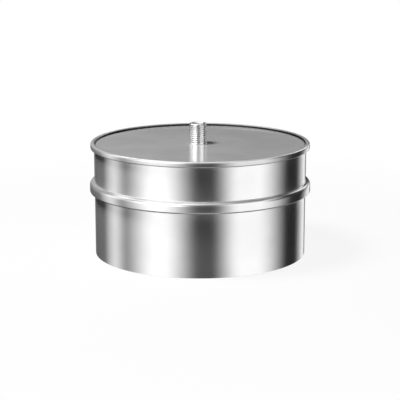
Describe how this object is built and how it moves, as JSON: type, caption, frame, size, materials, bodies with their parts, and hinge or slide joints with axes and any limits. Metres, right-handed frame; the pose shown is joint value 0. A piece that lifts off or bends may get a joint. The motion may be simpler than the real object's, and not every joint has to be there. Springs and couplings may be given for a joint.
{
  "type": "flue tee cap",
  "caption": "Round stainless steel end cap for a flue tee: open spigot with a stop bead, closed end with a rolled rim, and a threaded condensate drain nipple.",
  "frame": {"origin": "centre of the open mouth's plane, on the cap's axis", "axes": "+Z along the cap's axis, from the open mouth to the drain nipple; +X to the right and +Y away from the picture's viewer, so the nipple's axis lies 2.5 mm towards -X"},
  "size_m": [0.2608, 0.2608, 0.1541],
  "materials": {
    "shell_steel": "bright rolled stainless sheet",
    "disc_steel": "bright rolled stainless sheet",
    "nipple_steel": "turned stainless steel",
    "weld_steel": "weld metal"
  },
  "bodies": {
    "root": {"spigot_shell": "shell_steel", "end_disc": "disc_steel", "drain_nipple": "nipple_steel", "drain_weld": "weld_steel"}
  },
  "joints": []
}
